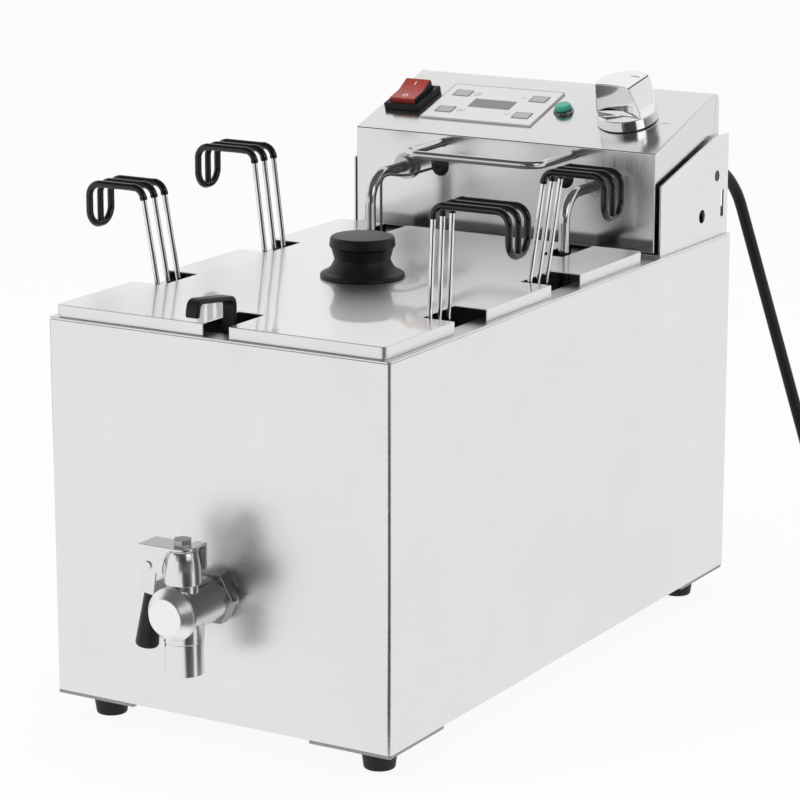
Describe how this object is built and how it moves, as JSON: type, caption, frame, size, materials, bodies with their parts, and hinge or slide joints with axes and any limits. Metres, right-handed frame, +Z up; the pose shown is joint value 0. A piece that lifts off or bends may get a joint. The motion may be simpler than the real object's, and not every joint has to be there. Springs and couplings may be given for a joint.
{
  "type": "pasta cooker",
  "caption": "Countertop electric pasta cooker with a lidded steel tank, lift-out baskets with black handles, a front drain tap and a sloped rear control head.",
  "frame": {"origin": "on the table under the middle of the machine, cord left out", "axes": "+X right seen from the tap, +Y from the tap to the control head, +Z up"},
  "size_m": [0.5157, 0.6222, 0.4071],
  "materials": {
    "steel_sheet": "satin stainless sheet",
    "chromed_steel": "polished",
    "grey_plate": "matt grey",
    "black_rubber": "matt",
    "black_plastic": "satin black",
    "cord_rubber": "matt",
    "tie_fabric": "woven",
    "element_tube": "drawn tube",
    "white_plastic": "satin film",
    "grey_keys": "satin",
    "red_plastic": "gloss",
    "green_lens": "clear tinted",
    "tan_plastic": "moulded",
    "board_green": "lacquered"
  },
  "bodies": {
    "machine": {"outer_casing": "steel_sheet", "rear_panel": "steel_sheet", "corner_plates": "grey_plate", "rubber_feet": "black_rubber", "screws": "chromed_steel", "tank": "steel_sheet", "tank_base": "steel_sheet", "tank_rim": "steel_sheet", "rear_deck": "steel_sheet", "drain_pipe": "chromed_steel", "drain_nut": "chromed_steel", "tap_body": "chromed_steel", "tap_spout": "chromed_steel", "tap_end_cap": "chromed_steel", "ball_seats": "white_plastic", "tap_bonnet": "chromed_steel", "head_cradle": "steel_sheet", "pivot_pins": "chromed_steel", "head_shell": "steel_sheet", "head_back": "steel_sheet", "drain_rail": "chromed_steel", "heating_element": "element_tube", "element_glands": "chromed_steel", "grommets": "black_rubber", "capillary": "element_tube", "thermostat": "tan_plastic", "timer_board": "board_green", "membrane_panel": "white_plastic", "display_window": "grey_keys", "lamp_bezel": "chromed_steel", "lamp_lens": "green_lens", "switch_body": "black_plastic", "cable_gland": "black_plastic", "cord": "cord_rubber", "cord_coil": "cord_rubber", "cord_tie": "tie_fabric", "plug": "black_plastic"},
    "tap_handle": {"valve_ball": "chromed_steel", "valve_stem": "chromed_steel", "handle_bracket": "chromed_steel", "bracket_bolt": "chromed_steel"},
    "lever_arm": {"lever": "chromed_steel", "lever_grip": "black_plastic"},
    "rocker_key": {"rocker": "red_plastic"},
    "thermostat_dial": {"thermostat_knob": "chromed_steel", "knob_shaft": "chromed_steel"},
    "lid_set": {"lid": "steel_sheet", "lid_knob": "black_plastic", "knob_screw": "chromed_steel"},
    "rack_set": {"rack": "steel_sheet", "rack_grip": "black_plastic"},
    "key_1": {"button_1": "grey_keys"},
    "key_2": {"button_2": "grey_keys"},
    "key_3": {"button_3": "grey_keys"},
    "key_4": {"button_4": "grey_keys"},
    "basket_front_left_set": {"basket_front_left": "chromed_steel", "handle_front_left": "chromed_steel", "grip_front_left": "black_plastic"},
    "basket_rear_left_set": {"basket_rear_left": "chromed_steel", "handle_rear_left": "chromed_steel", "grip_rear_left": "black_plastic"},
    "basket_front_right_set": {"basket_front_right": "chromed_steel", "handle_front_right": "chromed_steel", "grip_front_right": "black_plastic"},
    "basket_rear_right_set": {"basket_rear_right": "chromed_steel", "handle_rear_right": "chromed_steel", "grip_rear_right": "black_plastic"}
  },
  "joints": [
    {"name": "lid_swing", "type": "hinge", "parent": "machine", "child": "lid_set", "pos_m": [0, 0.1965, 0.333], "axis": [-1, 0, 0], "range_deg": [0, 25]},
    {"name": "rack_lift", "type": "slide", "parent": "machine", "child": "rack_set", "axis": [0, 0, 1], "range_m": [0, 0.012]},
    {"name": "basket_front_left_lift", "type": "slide", "parent": "rack_set", "child": "basket_front_left_set", "axis": [0, 0, 1], "range_m": [0, 0.025]},
    {"name": "basket_rear_left_lift", "type": "slide", "parent": "rack_set", "child": "basket_rear_left_set", "axis": [0, 0, 1], "range_m": [0, 0.025]},
    {"name": "basket_front_right_lift", "type": "slide", "parent": "rack_set", "child": "basket_front_right_set", "axis": [0, 0, 1], "range_m": [0, 0.025]},
    {"name": "basket_rear_right_lift", "type": "slide", "parent": "rack_set", "child": "basket_rear_right_set", "axis": [0, 0, 1], "range_m": [0, 0.025]},
    {"name": "tap_turn", "type": "hinge", "parent": "machine", "child": "tap_handle", "pos_m": [0, -0.2595, 0.109], "axis": [0, 0, 1], "range_deg": [0, 90]},
    {"name": "lever_lift", "type": "hinge", "parent": "tap_handle", "child": "lever_arm", "pos_m": [-0.0208, -0.2595, 0.138], "axis": [0, 1, 0], "range_deg": [0, 90]},
    {"name": "rocker_tilt", "type": "hinge", "parent": "machine", "child": "rocker_key", "pos_m": [-0.105, 0.21182, 0.37529], "axis": [1, 0, 0], "range_deg": [-16, 0]},
    {"name": "thermostat_turn", "type": "hinge", "parent": "machine", "child": "thermostat_dial", "pos_m": [0.08, 0.21058, 0.37175], "axis": [0, 0.299, -0.9542], "range_deg": [0, 270]},
    {"name": "key_1_press", "type": "slide", "parent": "machine", "child": "key_1", "axis": [0, 0.299, -0.9542], "range_m": [0, 0.0005], "stiffness_N_per_m": 800},
    {"name": "key_2_press", "type": "slide", "parent": "machine", "child": "key_2", "axis": [0, 0.299, -0.9542], "range_m": [0, 0.0005], "stiffness_N_per_m": 800},
    {"name": "key_3_press", "type": "slide", "parent": "machine", "child": "key_3", "axis": [0, 0.299, -0.9542], "range_m": [0, 0.0005], "stiffness_N_per_m": 800},
    {"name": "key_4_press", "type": "slide", "parent": "machine", "child": "key_4", "axis": [0, 0.299, -0.9542], "range_m": [0, 0.0005], "stiffness_N_per_m": 800}
  ],
  "couplings": [
    {"joint": "lever_lift", "follows": "tap_turn", "ratio": 1}
  ]
}
